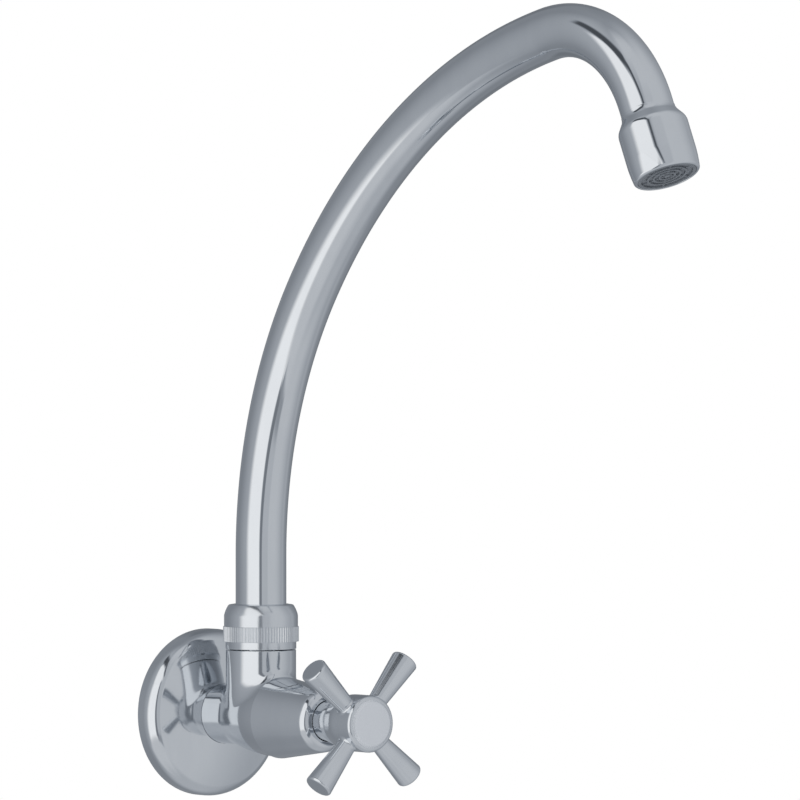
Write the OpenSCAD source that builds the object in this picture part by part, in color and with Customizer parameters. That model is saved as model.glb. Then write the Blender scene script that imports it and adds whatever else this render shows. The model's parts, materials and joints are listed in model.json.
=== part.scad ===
// Wall-mounted sink tap with a tall swan-neck swivel spout and a cross handle.
//
// The origin lies on the wall face, on the axis of the inlet. The tap stands out from
// the wall towards -Y, +Z is up, and the object is symmetrical about X = 0 except for
// the small turn at which the cross handle comes to rest. Depths are measured forwards
// from the wall. Reaches are measured forwards from the axis of the swivel column.

/* [Inlet and wall flange] */
// Outside diameter of the G 1/2 inlet thread
inlet_thread_d = 20.955; // [19:0.1:26]
// Length of thread that reaches into the wall
inlet_thread_l = 15; // [10:0.5:20]
// Bore of the inlet
inlet_bore_d = 14; // [11:0.5:14.5]
// Diameter of the wall flange
flange_d = 72; // [60:0.5:90]
// Height of the straight rim of the wall flange
flange_rim_h = 3.2; // [3:0.2:7]
// Rounding between the rim and the dome of the wall flange
flange_round_r = 8; // [4:0.5:8]
// Turn of that rounding, which sets where the dome begins
flange_round_turn = 77; // [70:1:82]
// Radius of the shallow dome of the wall flange
flange_dome_r = 235; // [150:5:400]
// Sheet thickness of the wall flange
flange_wall = 1.2; // [0.8:0.1:1.6]

/* [Body] */
// Distance from the wall to the axis of the swivel column
column_out = 40; // [38:0.5:50]
// Outside diameter of the swivel column
column_d = 30; // [29:0.2:36]
// Height of the column's top above the inlet axis
column_h = 28.4; // [24:0.1:36]
// Radius of the barrel that runs from the wall flange to the column
barrel_back_r = 12.9; // [12.4:0.1:13.4]
// How far the boss in front of the column stands out past the column's radius
boss_flare = 1.9; // [1.2:0.1:2.6]
// Length over which the barrel swells to the boss
swell_l = 28.2; // [22:0.1:30]
// Turn of the slight curve of that swell, seen from the side
swell_turn = 4; // [1:0.5:8]
// Diameter of the valve seat's hole
seat_hole_d = 12; // [9:0.5:12.5]
// Diameter of the chamber in front of the valve seat
chamber_d = 20.5; // [19.5:0.1:22]
// Diameter of the passage that rises from the chamber
riser_d = 12; // [8:0.5:13]

/* [Swivel nut] */
// Diameter of the G 3/4 thread under the swivel nut
nut_thread_d = 26.44; // [25:0.1:27.5]
// Height of the thread spigot above the column
spigot_h = 12.8; // [11:0.1:15]
// Diameter over the knurled band
knurl_d = 32.4; // [32:0.1:36]
// Depth of the knurl grooves
knurl_depth = 0.35; // [0.2:0.05:0.5]
// Number of ribs round the knurled band
knurl_ribs = 80; // [40:4:100]
// Diameter of the plain foot of the nut
nut_foot_d = 30.2; // [29.6:0.1:33]
// Diameter of the plain part above the knurl
nut_top_d = 31.6; // [31.2:0.1:34]
// Height of the plain foot
nut_foot_h = 3.2; // [2:0.1:5]
// Height of the knurled band
knurl_h = 6.4; // [4:0.1:9]
// Height of the whole nut
nut_h = 19.3; // [19:0.1:24]
// Height of the nut's sloping shoulder
nut_shoulder_h = 4.3; // [2:0.1:6]
// How far the nut draws in over its shoulder
nut_shoulder_in = 1.8; // [0.8:0.1:2]

/* [Spout] */
// Outside diameter of the spout tube
tube_d = 21.7; // [18:0.1:23]
// Wall of the spout tube
tube_wall = 1; // [0.8:0.1:1.5]
// Height at which the tube begins to bend, above the inlet axis
bend_start_h = 69; // [60:1:140]
// Radius of the first, rising bend
rise_bend_r = 196.5; // [150:0.5:260]
// Turn of the first bend
rise_bend_turn = 35.1; // [30:0.1:42]
// Radius of the long bend towards the crown
crown_bend_r = 251.5; // [180:0.5:320]
// Turn of the long bend
crown_bend_turn = 43.5; // [34:0.1:46]
// Radius of the tight bend down to the outlet
drop_bend_r = 53.5; // [40:0.5:80]
// Turn of the tight bend
drop_bend_turn = 77.2; // [66:0.2:90]
// Straight length between the tight bend and the outlet bell
tube_tail_l = 3.2; // [1:0.1:30]

/* [Outlet] */
// Outside diameter of the outlet bell
bell_d = 28.4; // [27:0.1:34.2]
// Length of the bell's flare
bell_flare_l = 8; // [7:0.1:12]
// Length of the bell in front of the flare
bell_l = 20.3; // [16:0.1:30]
// Length over which the bell draws in towards its mouth
bell_belly_l = 9.7; // [4:0.1:12]
// Radius of that slight curve, seen from the side
bell_belly_r = 60; // [40:5:120]
// Rounding of the bell's mouth
bell_lip_r = 1.2; // [0.5:0.1:1.5]
// Diameter of the M24 thread inside the bell
aerator_thread_d = 24; // [22:0.2:24.4]
// Rows of ring slots in the face of the aerator
grille_rings = 4; // [2:1:5]
// Number of ribs that cross the ring slots
grille_ribs = 6; // [4:1:10]

/* [Valve] */
// Lift of the valve from shut to fully open
valve_lift = 3.75; // [2:0.25:4]
// Diameter of the valve stem's thread
stem_thread_d = 13; // [12:0.1:13.4]
// Diameter of the stem where it passes the gland
stem_shank_d = 9.2; // [8.4:0.1:10]
// Width across flats of the stem's square end inside the handle
stem_flats = 6.6; // [6:0.1:6.8]
// Thickness of the rubber valve washer
washer_h = 2.5; // [2:0.1:3]
// Diameter of the rubber valve washer
washer_d = 16.4; // [15.6:0.1:17]
// Width across flats of the bonnet
bonnet_flats = 24; // [23:0.5:24]
// Diameter of the thread that holds the bonnet in the body
bonnet_thread_d = 23.7; // [22:0.1:24.6]

/* [Bonnet cover] */
// How far the cover's back edge stands out past the boss
cover_overhang = 0.5; // [0.3:0.1:1]
// Half-angle of the cover's taper
cover_taper = 7.8; // [4:0.1:8.4]
// Length of the cover
cover_l = 31.6; // [30.6:0.2:36]
// Radius of the bull-nose at the front of the cover
cover_nose_r = 4; // [2:0.1:4.2]
// Radius of the hole that the handle's skirt enters
cover_hole_r = 9.2; // [8.9:0.1:9.6]
// Wall of the cover
cover_wall = 1.6; // [1.2:0.1:1.7]

/* [Cross handle] */
// Distance from the handle's axis to the end of each arm
arm_reach = 34.9; // [28:0.1:42]
// Radius of an arm's cone at the side of the hub
arm_root_r = 3.95; // [3:0.05:5]
// Radius of an arm at its end
arm_end_r = 5.95; // [4.5:0.05:7]
// Rounding of the arm's end
arm_round_r = 1.1; // [0.5:0.1:2]
// Distance from the front of the cover to the plane of the arms
arm_ahead = 22.5; // [21:0.1:26]
// Turn of the cross from a true diagonal when the valve is shut
handle_turn = 3; // [-10:0.5:10]
// Radius of the hub
hub_r = 12; // [11:0.1:14]
// Radius of the hub's skirt where it enters the cover
skirt_r = 8.6; // [8.2:0.1:8.7]
// Radius of the cap in the front of the hub
cap_r = 9.2; // [8:0.1:9.6]

/* [Hidden] */
$fn = 96;
eps = 0.01;

// How far one shape reaches into the next, and how far a cut runs past the face it opens
lap = 1;

// Clearances: a thread or plug in its hole, a turning fit, a gap between flat faces,
// and a free gap between parts that move past each other
fit_gap = 0.05;
run_gap = 0.08;
face_gap = 0.05;
free_gap = 0.3;

// Edge breaks: a turned edge, the end of a small part, and the lead of a thread
edge_break = 0.3;
end_break = 0.8;
thread_lead = 1.2;

// Flange: its hole round the barrel, and the height of its dome there
flange_hole_r = barrel_back_r + free_gap;
flange_h = dome_height(flange_hole_r);

// Body: depths from the wall, and the register that centres the cover
barrel_end = 9;
boss_r = column_d / 2 + boss_flare;
boss_front = column_out + column_d / 2 + 0.2;
swell_back = boss_front - swell_l;
register_l = 2.3;
register_r = boss_r - 1.5;
body_front = boss_front + register_l;
column_root_h = 5;
column_root_in = 1.4;
relief_h = 1.6;
relief_in = 1;

// Valve seat, with a lip that a trench leaves standing round its hole
seat_out = column_out - 6.5;
seat_lip_h = 1;
seat_lip_w = 1.4;
throat_l = 5;
bonnet_bore_back = column_out + riser_d / 2 + 0.5;

// Heights of the swivel joint above the inlet axis
spigot_top = column_h + spigot_h;
nut_foot = column_h + free_gap;
nut_top = nut_foot + nut_h;
slip_h = 1;
collar_h = 2.4;
collar_foot = spigot_top + 2 * face_gap + slip_h;
collar_top = collar_foot + collar_h;
collar_r = nut_thread_d / 2 - 0.5;
nut_ceiling = collar_top + 2 * face_gap + slip_h;
nut_hole_r = tube_d / 2 + free_gap;
nut_crown_h = 0.7;
nut_crown_slope = 12;
nut_shoulder_bulge = 22;
rib_flat = 0.24;

// Tail of the spout, which turns in the column on two seals
tube_bore_r = tube_d / 2 - tube_wall;
tube_foot = collar_top + face_gap;
tail_seat_h = column_h - 7.7;
tail_foot = column_h - 5;
tail_wall = 1.2;
tail_sleeve_l = 7.8;
oring_r = 0.9;
oring_squeeze = 0.05;
oring_side_gap = 0.2;
oring_pitch_h = 5;
oring_heights = [for (i = [0:1]) tail_foot + 3.4 + oring_pitch_h * i];
groove_bottom_r = tube_bore_r - 2 * oring_r - 0.1;
tail_bore_r = groove_bottom_r - tail_wall;

// Path of the spout's centre line, as [reach, height]
turn_1 = rise_bend_turn;
turn_2 = turn_1 + crown_bend_turn;
turn_3 = turn_2 + drop_bend_turn;
centre_1 = [rise_bend_r, bend_start_h];
joint_1 = on_bend(centre_1, rise_bend_r, turn_1);
centre_2 = joint_1 + crown_bend_r * [cos(turn_1), -sin(turn_1)];
joint_2 = on_bend(centre_2, crown_bend_r, turn_2);
centre_3 = joint_2 + drop_bend_r * [cos(turn_2), -sin(turn_2)];
joint_3 = on_bend(centre_3, drop_bend_r, turn_3);

// Outlet: the tube's straight end is turned down a little for the bell's socket, and its
// thinner wall starts inside the wall of the last bend
tube_end_step = 0.05;
tube_end_r = tube_d / 2 - tube_end_step;
tube_end_bore_r = tube_bore_r + tube_end_step;
tube_end_in = 0.3;
tube_socket_l = 6;
bell_neck_wall = 0.15;
bell_neck_r = 5.5;
bell_shoulder_r = 4.8;
bell_flare_turn = 31;
outlet_l = tube_tail_l + bell_flare_l + bell_l;

// Aerator: depths from the mouth of the bell
aerator_r = aerator_thread_d / 2 - fit_gap;
aerator_recess = 0.2;
aerator_l = 9.5;
aerator_end = aerator_recess + aerator_l;
aerator_wall = 1.3;
aerator_bore_r = aerator_r - aerator_wall;
grille_h = 2;
grille_ring_w = 0.8;
grille_rib_w = 0.9;
grille_rib_in = 0.3;
screen_in = 4.5;
screen_rim = 0.8;
screen_wires = 9;
screen_wire_w = 0.4;
mixer_in = 6.2;
mixer_h = 2.6;
mixer_hole_r = 0.9;
mixer_ring_pitch = 0.37;
gasket_seat = aerator_end + face_gap;
gasket_l = 2;
gasket_in = 1;

// Valve: depths of the washer and of the plate that carries it
washer_back = seat_out + face_gap;
plate_back = washer_back + washer_h + face_gap;
plate_h = 2.8;
plate_front = plate_back + plate_h;
plate_r = washer_d / 2 + 0.6;
pin_r = 2.5;
pin_l = 7;
pin_hole_spare = 0.6;
stud_r = 1.5;
stud_l = 2.4;
stud_nut_flats = 5.5;
stud_nut_h = 2;

// Bonnet: depths of its collar, hexagon, cover thread and neck
gasket_h = 0.8;
bonnet_foot_gap = 0.5;
bonnet_collar_r = bonnet_flats / 2 + 2;
bonnet_collar_back = body_front + 2 * face_gap + gasket_h;
bonnet_hex_back = bonnet_collar_back + 2;
cover_thread_back = bonnet_hex_back + 6;
cover_thread_r = 11.4;
neck_back = cover_thread_back + 5.5;
neck_r = 9.6;

// Cover: its ends, and the land that runs on the bonnet's thread
cover_back = boss_front + 0.2;
cover_back_r = boss_r + cover_overhang;
cover_front = cover_back + cover_l;
cover_hole_l = 2.4;
cover_edge_r = 0.4;
land_foot = cover_thread_back + free_gap;
land_back = land_foot + 1;
land_front = neck_back - 0.4;
land_head = land_front + 1;
neck_front = cover_front - 9;

// Gland, which squeezes the packing round the stem
gland_bore_r = 7;
gland_web_back = bonnet_collar_back + 7.4;
gland_web_front = gland_web_back + 2.4;
packing_h = 3.8;
packing_front = gland_web_front + face_gap + packing_h;
gland_head_back = neck_front + face_gap;
gland_head_h = 3.2;
gland_flats = 2 * gland_bore_r + 2;

// Handle: depths from the wall
skirt_back = cover_front - 5;
arm_out = cover_front + arm_ahead;
hub_web_back = arm_out - 11.2;
hub_web_front = hub_web_back + 5.2;
hub_full = arm_out - 7.3;
hub_front = arm_out + 6.9;
hub_edge_r = 1;
hub_edge_turn = 70;
hub_swell = 0.15;
hub_swell_l = 3.5;
hub_neck_in = 0.7;
hub_cavity_r = 5.2;
arm_root_in = 4;
cap_seat = hub_front - 2.6;
cap_front = hub_front + 0.7;
cap_edge_r = 0.5;
cap_plug_l = 4;
cap_wall = 1;

// Stem, with a square end that drives the handle and a tapped hole for its screw
stem_back = plate_front + 2 * face_gap;
stem_root_in = 0.8;
stem_thread_back = bonnet_bore_back + 3;
stem_thread_front = gland_web_back - valve_lift - 1.2;
stem_square_back = skirt_back;
stem_front = hub_web_back - 0.3;
screw_r = 2;
screw_l = 13;
screw_head_r = 3.9;
screw_head_h = 3;
screw_socket_flats = 3;
screw_socket_floor = 1;
screw_hole_gap = 0.2;
screw_hole_spare = 2;

function arc(c, r, from, to, n) =
    [for (i = [0:n]) let (a = from + (to - from) * i / n) c + r * [cos(a), sin(a)]];
function on_bend(c, r, turn) = c + r * [-cos(turn), sin(turn)];
function along_outlet(l) = joint_3 + l * [sin(turn_3), cos(turn_3)];

// Flange: the dome is tangent to the rounding where the rounding ends
function round_c() = [flange_d / 2 - flange_round_r, flange_rim_h];
function dome_c() = round_c()
    + (flange_round_r - flange_dome_r) * [cos(flange_round_turn), sin(flange_round_turn)];
function dome_height(r) = dome_c()[1] + sqrt(pow(flange_dome_r, 2) - pow(r - dome_c()[0], 2));
function dome_angle(r) = acos((r - dome_c()[0]) / flange_dome_r);

// Barrel: one shallow arc from the straight part to the boss
swell_chord = atan((boss_r - barrel_back_r) / swell_l);
swell_from = -swell_chord - swell_turn / 2;
swell_r = norm([swell_l, boss_r - barrel_back_r]) / (2 * sin(swell_turn / 2));
swell_c = [barrel_back_r, swell_back] - swell_r * [cos(swell_from), sin(swell_from)];

// Swivel nut: a shallow arc draws the shoulder in, and a small one tangent to it turns
// to the nearly flat crown
shoulder_top = nut_top - nut_crown_h;
shoulder_r = norm([nut_shoulder_h, nut_shoulder_in]) / (2 * sin(nut_shoulder_bulge / 2));
shoulder_from = atan(nut_shoulder_in / nut_shoulder_h) - nut_shoulder_bulge / 2;
shoulder_to = shoulder_from + nut_shoulder_bulge;
shoulder_c = [nut_top_d / 2, shoulder_top - nut_shoulder_h]
    - shoulder_r * [cos(shoulder_from), sin(shoulder_from)];
crown_c = shoulder_c + (shoulder_r - end_break) * [cos(shoulder_to), sin(shoulder_to)];

// Cover: outside radius of the taper, and the bull-nose tangent to it
function cover_r(out) = cover_back_r - (out - cover_back) * tan(cover_taper);
function cover_inner_r(out) = cover_r(out) - cover_wall / cos(cover_taper);
nose_out = cover_front - cover_nose_r;
nose_touch = nose_out + cover_nose_r * sin(cover_taper);
nose_c = [cover_r(nose_touch) - cover_nose_r * cos(cover_taper), nose_out];

// Mouth of the bell: the lip is tangent to the slight curve that draws the bell in
belly_c = [bell_d / 2 - bell_belly_r, bell_flare_l + bell_l - bell_belly_l];
belly_turn = asin((bell_belly_l - bell_lip_r) / (bell_belly_r - bell_lip_r));
lip_c = belly_c + (bell_belly_r - bell_lip_r) * [cos(belly_turn), sin(belly_turn)];

// Local +Z runs forwards from the wall, along the inlet axis
module from_wall() { rotate([90, 0, 0]) children(); }

// Local X is the reach from the column's axis and local Y the height
module spout_plane() { translate([0, -column_out, 0]) rotate([90, 0, -90]) children(); }

// A move made of whole tenths and the rest, which keeps the ends of the bends true to each other
module move_to(v) {
    tenths = [round(v[0] * 10) / 10, round(v[1] * 10) / 10];
    translate([tenths[0], tenths[1], 0])
        translate([v[0] - tenths[0], v[1] - tenths[1], 0]) children();
}

// Local +Z points out of the spout, with its origin at the given length past the last bend
module from_outlet(l) {
    spout_plane() move_to(along_outlet(l))
        rotate([0, 0, 90 - turn_3]) rotate([0, 90, 0]) children();
}

// Local +Z points back into the spout from the mouth of the bell
module from_mouth() { from_outlet(outlet_l) mirror([0, 0, 1]) children(); }

module on_column() { translate([0, -column_out, 0]) children(); }

module revolved(points) { rotate_extrude() polygon(points); }

module tube(r, bore, from, to) {
    translate([0, 0, from]) difference() {
        cylinder(r = r, h = to - from);
        translate([0, 0, -eps]) cylinder(r = bore, h = to - from + 2 * eps);
    }
}

module rod(r, from, to) { translate([0, 0, from]) cylinder(r = r, h = to - from); }

module hex(flats, from, to) {
    translate([0, 0, from]) cylinder(d = flats / cos(30), h = to - from, $fn = 6);
}

module square_rod(flats, from, to) {
    translate([-flats / 2, -flats / 2, from]) cube([flats, flats, to - from]);
}

module wall_flange() {
    inner_r = flange_round_r - flange_wall;
    top = dome_angle(flange_hole_r);
    color("silver") from_wall() revolved(concat(
        [[flange_d / 2, 0]],
        arc(round_c(), flange_round_r, 0, flange_round_turn, 10),
        arc(dome_c(), flange_dome_r, flange_round_turn, top, 5),
        arc(dome_c(), flange_dome_r - flange_wall, top, flange_round_turn, 5),
        arc(round_c(), inner_r, flange_round_turn, 0, 8),
        [[flange_d / 2 - flange_wall, 0]]));
}

module barrel() {
    from_wall() revolved(concat(
        [[0, barrel_end], [barrel_back_r - end_break, barrel_end],
            [barrel_back_r, barrel_end + end_break]],
        arc(swell_c, swell_r, swell_from, swell_from + swell_turn, 8),
        [[register_r, boss_front], [register_r, body_front], [0, body_front]]));
}

module column() {
    r = column_d / 2;
    thread_r = nut_thread_d / 2;
    on_column() revolved([[0, 0], [r - column_root_in, 0], [r, column_root_h],
        [r, column_h - edge_break], [r - edge_break, column_h],
        [thread_r - relief_in, column_h], [thread_r - relief_in, column_h + relief_h],
        [thread_r, column_h + relief_h + relief_in],
        [thread_r, spigot_top - thread_lead], [thread_r - thread_lead, spigot_top],
        [0, spigot_top]]);
}

module inlet_spigot() {
    r = inlet_thread_d / 2;
    end = barrel_end + lap;
    from_wall() revolved([[0, -inlet_thread_l], [r - thread_lead, -inlet_thread_l],
        [r, thread_lead - inlet_thread_l], [r, end], [0, end]]);
}

// Inlet bore, throat, chamber, trench round the seat's lip, and bonnet thread
module valve_waterway() {
    from_wall() {
        rod(inlet_bore_d / 2, -inlet_thread_l - lap, seat_out - throat_l);
        rod(seat_hole_d / 2, seat_out - throat_l - eps, seat_out + eps);
        rod(chamber_d / 2, seat_out, bonnet_bore_back + eps);
        tube(chamber_d / 2, seat_hole_d / 2 + seat_lip_w, seat_out - seat_lip_h, seat_out + eps);
        rod(bonnet_thread_d / 2 + fit_gap, bonnet_bore_back, body_front + lap);
    }
}

module faucet_body() {
    color("gainsboro") difference() {
        union() {
            barrel();
            column();
            inlet_spigot();
        }
        valve_waterway();
        on_column() {
            rod(riser_d / 2, 0, tail_seat_h + eps);
            rod(tube_bore_r, tail_seat_h, spigot_top + lap);
        }
    }
}

module bonnet_gasket() {
    back = body_front + face_gap;
    color("darkslategray") from_wall()
        tube(bonnet_collar_r, bonnet_thread_d / 2 + fit_gap, back, back + gasket_h);
}

module bonnet() {
    color("goldenrod") from_wall() difference() {
        union() {
            rod(bonnet_thread_d / 2, bonnet_bore_back + bonnet_foot_gap, bonnet_collar_back + eps);
            rod(bonnet_collar_r, bonnet_collar_back, bonnet_hex_back);
            hex(bonnet_flats, bonnet_hex_back - eps, cover_thread_back);
            rod(cover_thread_r, cover_thread_back - eps, neck_back + eps);
            rod(neck_r, neck_back, neck_front);
        }
        rod(stem_thread_d / 2 + run_gap, 0, gland_web_back);
        rod(stem_shank_d / 2 + 2 * run_gap, gland_web_back - eps, gland_web_front + eps);
        rod(gland_bore_r, gland_web_front, neck_front + lap);
    }
}

module gland_packing() {
    color("dimgray") from_wall()
        tube(gland_bore_r - fit_gap, stem_shank_d / 2 + run_gap, gland_web_front + face_gap,
            packing_front);
}

module gland_nut() {
    head_front = gland_head_back + gland_head_h;
    color("goldenrod") from_wall() difference() {
        union() {
            rod(gland_bore_r - fit_gap, packing_front + face_gap, gland_head_back + eps);
            hex(gland_flats, gland_head_back, head_front);
        }
        rod(stem_shank_d / 2 + 2 * run_gap, 0, head_front + lap);
    }
}

module bonnet_cover() {
    lip_r = register_r + fit_gap;
    land_r = cover_thread_r + fit_gap;
    color("silver") from_wall() revolved(concat(
        [[lip_r, cover_back]],
        arc([cover_back_r - cover_edge_r, cover_back + cover_edge_r], cover_edge_r, -90, 0, 4),
        arc(nose_c, cover_nose_r, cover_taper, 90, 8),
        [[cover_hole_r, cover_front], [cover_hole_r, cover_front - cover_hole_l]],
        arc(nose_c, cover_nose_r - cover_wall, 90, cover_taper, 5),
        [[cover_inner_r(land_head), land_head], [land_r, land_front],
            [land_r, land_back], [cover_inner_r(land_foot), land_foot],
            [cover_inner_r(body_front), body_front + end_break], [lip_r, body_front]]));
}

module lower_slip_washer() {
    foot = spigot_top + face_gap;
    color("ivory") on_column() tube(collar_r, tube_bore_r + 2 * run_gap, foot, foot + slip_h);
}

module upper_slip_ring() {
    foot = collar_top + face_gap;
    color("ivory") on_column() tube(collar_r, nut_hole_r, foot, foot + slip_h);
}

// Outline of the knurl: each rib has a flat crest and a flat root, each the same share of its pitch
function rib_points(n, crest, root) = [for (i = [0:n - 1], k = [0:3])
    let (side = k % 2 == 0 ? -rib_flat / 2 : rib_flat / 2,
        turn = 360 * (i + side + (k < 2 ? 0 : 0.5)) / n, r = k < 2 ? crest : root)
    r * [cos(turn), sin(turn)]];

module knurled_band(from, to) {
    translate([0, 0, from]) linear_extrude(to - from)
        polygon(rib_points(knurl_ribs, knurl_d / 2, knurl_d / 2 - knurl_depth));
}

module swivel_nut() {
    band = nut_foot + nut_foot_h;
    foot_r = nut_foot_d / 2;
    color("silver") on_column() difference() {
        union() {
            revolved([[0, nut_foot], [foot_r - edge_break, nut_foot],
                [foot_r, nut_foot + edge_break], [foot_r, band + lap], [0, band + lap]]);
            knurled_band(band, band + knurl_h);
            revolved(concat([[0, band + lap], [nut_top_d / 2, band + lap]],
                arc(shoulder_c, shoulder_r, shoulder_from, shoulder_to, 6),
                arc(crown_c, end_break, shoulder_to, 90 - nut_crown_slope, 4),
                [[nut_hole_r + edge_break, nut_top], [0, nut_top]]));
        }
        rod(nut_thread_d / 2 + fit_gap, nut_foot - lap, nut_ceiling);
        rod(nut_hole_r, nut_ceiling - eps, nut_top + lap);
    }
}

module jumper_valve() {
    pin_front = plate_front + pin_l;
    color("goldenrod") from_wall()
        revolved([[0, washer_back - stud_l], [stud_r, washer_back - stud_l],
            [stud_r, plate_back], [plate_r, plate_back], [plate_r, plate_front - end_break],
            [plate_r - end_break, plate_front], [pin_r, plate_front],
            [pin_r, pin_front - end_break], [pin_r - end_break, pin_front], [0, pin_front]]);
}

module valve_washer() {
    color("black") from_wall()
        tube(washer_d / 2, stud_r + fit_gap, washer_back, washer_back + washer_h);
}

module washer_nut() {
    front = washer_back - face_gap;
    color("goldenrod") from_wall() difference() {
        hex(stud_nut_flats, front - stud_nut_h, front);
        rod(stud_r + fit_gap, 0, front + lap);
    }
}

module valve_stem() {
    thread_r = stem_thread_d / 2;
    shank_r = stem_shank_d / 2;
    color("goldenrod") from_wall() difference() {
        union() {
            revolved([[0, stem_back], [thread_r - stem_root_in, stem_back],
                [thread_r - stem_root_in, stem_thread_back], [thread_r, stem_thread_back],
                [thread_r, stem_thread_front], [shank_r, stem_thread_front],
                [shank_r, stem_square_back], [0, stem_square_back]]);
            square_rod(stem_flats, stem_square_back - eps, stem_front);
        }
        rod(pin_r + run_gap, stem_back - lap, stem_back + pin_l + pin_hole_spare);
        rod(screw_r + fit_gap, hub_web_back - screw_l - screw_hole_spare, stem_front + lap);
    }
}

// One arm of the cross: a cone that widens outwards to a rounded end
module arm() {
    slope = (arm_end_r - arm_root_r) / (arm_reach - hub_r);
    start = hub_r - arm_root_in;
    end_c = [arm_end_r - arm_round_r, arm_reach - arm_round_r];
    revolved(concat([[0, start], [arm_root_r - slope * arm_root_in, start]],
        arc(end_c, arm_round_r, -atan(slope), 90, 6),
        [[0, arm_reach]]));
}

module hub() {
    back = skirt_back + 2 * face_gap;
    neck_c = [skirt_r + hub_neck_in, hub_full];
    edge_c = [hub_r - hub_edge_r, hub_front - hub_edge_r];
    revolved(concat([[0, back], [skirt_r, back], [skirt_r, cover_front],
        [skirt_r + hub_swell, cover_front + hub_swell_l]],
        arc(neck_c, hub_r - neck_c[0], -60, 0, 6),
        arc(edge_c, hub_edge_r, 0, hub_edge_turn, 5),
        [[cap_r + edge_break, hub_front], [0, hub_front]]));
}

module cross_handle() {
    color("silver") from_wall() difference() {
        union() {
            hub();
            for (i = [0:3])
                rotate([0, 0, 45 + handle_turn + 90 * i])
                    translate([0, 0, arm_out]) rotate([0, 90, 0]) arm();
        }
        square_rod(stem_flats + 2 * fit_gap, skirt_back - lap, hub_web_back);
        rod(screw_r + screw_hole_gap, hub_web_back - eps, hub_web_front + eps);
        rod(hub_cavity_r, hub_web_front, cap_seat + eps);
        rod(cap_r + fit_gap, cap_seat, hub_front + lap);
    }
}

module handle_screw() {
    head = hub_web_front + face_gap;
    head_front = head + screw_head_h;
    color("lightgray") from_wall() difference() {
        union() {
            rod(screw_r, hub_web_back - screw_l, head + eps);
            revolved([[0, head], [screw_head_r, head], [screw_head_r, head_front - end_break],
                [screw_head_r - end_break, head_front], [0, head_front]]);
        }
        hex(screw_socket_flats, head + screw_socket_floor, head_front + lap);
    }
}

module index_cap() {
    plug_r = hub_cavity_r - fit_gap;
    plug_back = cap_seat - cap_plug_l;
    color("whitesmoke") from_wall() difference() {
        revolved(concat([[0, plug_back], [plug_r - edge_break, plug_back],
            [plug_r, plug_back + edge_break], [plug_r, cap_seat + face_gap],
            [cap_r, cap_seat + face_gap]],
            arc([cap_r - cap_edge_r, cap_front - cap_edge_r], cap_edge_r, 0, 90, 4),
            [[0, cap_front]]));
        rod(plug_r - cap_wall, plug_back - lap, cap_seat + cap_wall);
    }
}

module spout_tail() {
    nose_r = tube_bore_r - run_gap;
    sleeve_r = tube_bore_r - fit_gap;
    sleeve_top = collar_top + tail_sleeve_l;
    groove_h = oring_r + oring_side_gap;
    color("goldenrod") on_column() difference() {
        revolved([[0, tail_foot], [nose_r - end_break, tail_foot],
            [nose_r, tail_foot + end_break], [nose_r, collar_foot], [collar_r, collar_foot],
            [collar_r, collar_top], [sleeve_r, collar_top], [sleeve_r, sleeve_top - end_break],
            [sleeve_r - end_break, sleeve_top], [0, sleeve_top]]);
        rod(tail_bore_r, tail_foot - lap, sleeve_top + lap);
        for (h = oring_heights)
            tube(tube_bore_r + lap, groove_bottom_r, h - groove_h, h + groove_h);
    }
}

module spout_orings() {
    color("black") on_column() for (h = oring_heights)
        translate([0, 0, h]) rotate_extrude()
            translate([tube_bore_r - oring_squeeze - oring_r, 0]) circle(r = oring_r);
}

module ring_section() {
    difference() {
        circle(d = tube_d);
        circle(r = tube_bore_r);
    }
}

// One bend of the spout: a ring swept about the bend's own centre
module bend(c, r, from_turn, turn) {
    move_to(c) rotate_extrude(angle = turn, start = 180 - from_turn - turn)
        translate([r, 0]) ring_section();
}

module spout_tube() {
    color("gainsboro") union() {
        on_column() tube(tube_d / 2, tube_bore_r, tube_foot, bend_start_h);
        spout_plane() {
            bend(centre_1, rise_bend_r, 0, turn_1);
            bend(centre_2, crown_bend_r, turn_1, crown_bend_turn);
            bend(centre_3, drop_bend_r, turn_2, drop_bend_turn);
        }
        from_outlet(0)
            tube(tube_end_r, tube_end_bore_r, -tube_end_in, tube_tail_l + tube_socket_l);
    }
}

// The outlet bell, from its neck on the tube to its mouth
module outlet_bell() {
    socket_r = tube_end_r + fit_gap;
    socket_end = tube_socket_l + face_gap;
    neck_c = [tube_d / 2 + bell_neck_wall + bell_neck_r, 0];
    shoulder_c = [bell_d / 2 - bell_shoulder_r, bell_flare_l];
    mouth = bell_flare_l + bell_l;
    thread_r = aerator_thread_d / 2;
    thread_end = mouth - gasket_seat - gasket_l - face_gap;
    color("silver") from_outlet(tube_tail_l) revolved(concat(
        [[socket_r, 0]],
        arc(neck_c, bell_neck_r, 180, 180 - bell_flare_turn, 5),
        arc(shoulder_c, bell_shoulder_r, -bell_flare_turn, 0, 5),
        arc(belly_c, bell_belly_r, 0, belly_turn, 5),
        arc(lip_c, bell_lip_r, belly_turn, 90, 5),
        [[thread_r + aerator_recess, mouth], [thread_r, mouth - aerator_recess],
            [thread_r, thread_end], [tube_bore_r, thread_end], [tube_bore_r, socket_end],
            [socket_r, socket_end]]));
}

module aerator_gasket() {
    color("black") from_mouth()
        tube(aerator_r - 2 * fit_gap, tube_bore_r - gasket_in, gasket_seat, gasket_seat + gasket_l);
}

module wire(reach, offset) {
    half = sqrt(reach * reach - offset * offset);
    w = screen_wire_w;
    translate([-half, offset - w / 2, w / 2]) cube([2 * half, w, w]);
}

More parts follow.
